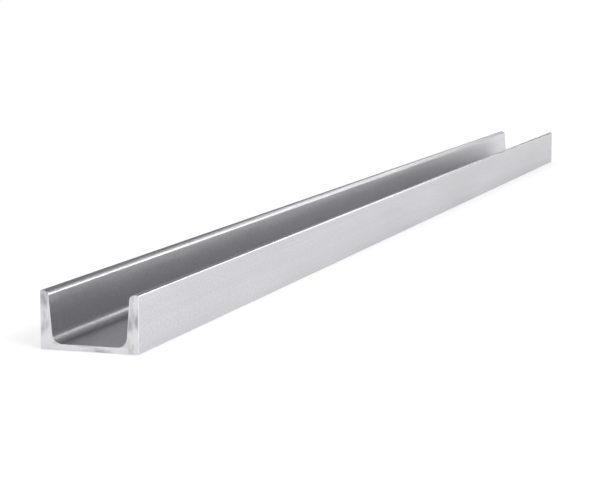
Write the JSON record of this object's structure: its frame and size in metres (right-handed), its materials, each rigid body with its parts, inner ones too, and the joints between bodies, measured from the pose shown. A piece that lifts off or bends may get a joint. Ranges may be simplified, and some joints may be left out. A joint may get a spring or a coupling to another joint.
{
  "type": "steel channel",
  "caption": "Straight hot-rolled steel channel: a flat web with two tapered flanges, filleted inside, and square sawn ends.",
  "frame": {"origin": "on the outer face of the web, at the middle of its width and of the length", "axes": "+Y along the length, +X across the web, +Z from the web's outer face towards the toes of the flanges"},
  "size_m": [0.08, 1.6, 0.045],
  "materials": {
    "steel": "clean mill finish, satin, with fine lines along the length and dull sawn ends"
  },
  "bodies": {
    "root": {"channel": "steel"}
  },
  "joints": []
}
